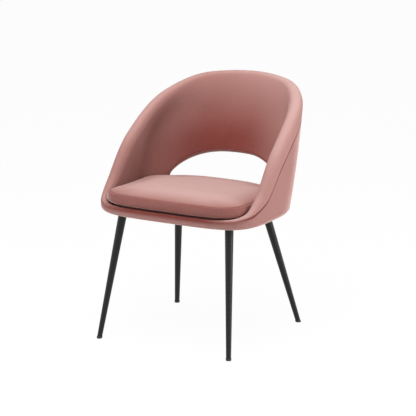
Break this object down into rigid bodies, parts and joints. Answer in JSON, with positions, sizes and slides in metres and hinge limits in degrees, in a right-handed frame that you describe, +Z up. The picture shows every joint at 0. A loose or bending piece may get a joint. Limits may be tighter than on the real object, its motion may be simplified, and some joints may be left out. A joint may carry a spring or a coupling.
{
  "type": "upholstered dining chair",
  "caption": "Upholstered tub dining chair: a curved shell forms back and arms, with a half-moon cut-out, a seat pad and slim splayed legs.",
  "frame": {"origin": "on the floor, under the middle of the chair's bounding box", "axes": "+Z up, the chair faces -Y, +X towards the sitter's left"},
  "size_m": [0.5804, 0.6176, 0.7861],
  "materials": {
    "velvet": "dusty pink velvet",
    "foam": "cut polyurethane foam",
    "plywood": "sanded plywood",
    "moulded_plastic": "moulded black",
    "black_steel": "satin black powder coat",
    "zinc_steel": "zinc plated",
    "foot_plastic": "matte black",
    "black_cloth": "non-woven black cloth"
  },
  "bodies": {
    "root": {"seat_board": "plywood", "back_shell": "moulded_plastic", "outer_foam": "foam", "inner_foam_left": "foam", "inner_foam_right": "foam", "lip_foam": "foam", "deck_foam": "foam", "outer_cover": "velvet", "inner_cover": "velvet", "opening_band": "velvet", "dust_cover": "black_cloth", "pad_board": "plywood", "pad_foam": "foam", "pad_top_panel": "velvet", "pad_boxing": "velvet", "pad_under_cloth": "black_cloth", "shell_screw_left_1": "zinc_steel", "shell_screw_left_2": "zinc_steel", "shell_screw_left_3": "zinc_steel", "shell_screw_left_4": "zinc_steel", "shell_screw_right_1": "zinc_steel", "shell_screw_right_2": "zinc_steel", "shell_screw_right_3": "zinc_steel", "shell_screw_right_4": "zinc_steel", "pad_bolt_front_left": "zinc_steel", "pad_tee_nut_front_left": "zinc_steel", "pad_bolt_back_left": "zinc_steel", "pad_tee_nut_back_left": "zinc_steel", "pad_bolt_front_right": "zinc_steel", "pad_tee_nut_front_right": "zinc_steel", "pad_bolt_back_right": "zinc_steel", "pad_tee_nut_back_right": "zinc_steel", "leg_tube_front_left": "black_steel", "foot_cap_front_left": "foot_plastic", "leg_plate_front_left": "black_steel", "leg_nut_plate_front_left": "zinc_steel", "leg_bolt_front_left_1": "black_steel", "leg_bolt_front_left_2": "black_steel", "leg_bolt_front_left_3": "black_steel", "leg_tube_back_left": "black_steel", "foot_cap_back_left": "foot_plastic", "leg_plate_back_left": "black_steel", "leg_nut_plate_back_left": "zinc_steel", "leg_bolt_back_left_1": "black_steel", "leg_bolt_back_left_2": "black_steel", "leg_bolt_back_left_3": "black_steel", "leg_tube_front_right": "black_steel", "foot_cap_front_right": "foot_plastic", "leg_plate_front_right": "black_steel", "leg_nut_plate_front_right": "zinc_steel", "leg_bolt_front_right_1": "black_steel", "leg_bolt_front_right_2": "black_steel", "leg_bolt_front_right_3": "black_steel", "leg_tube_back_right": "black_steel", "foot_cap_back_right": "foot_plastic", "leg_plate_back_right": "black_steel", "leg_nut_plate_back_right": "zinc_steel", "leg_bolt_back_right_1": "black_steel", "leg_bolt_back_right_2": "black_steel", "leg_bolt_back_right_3": "black_steel"}
  },
  "joints": []
}
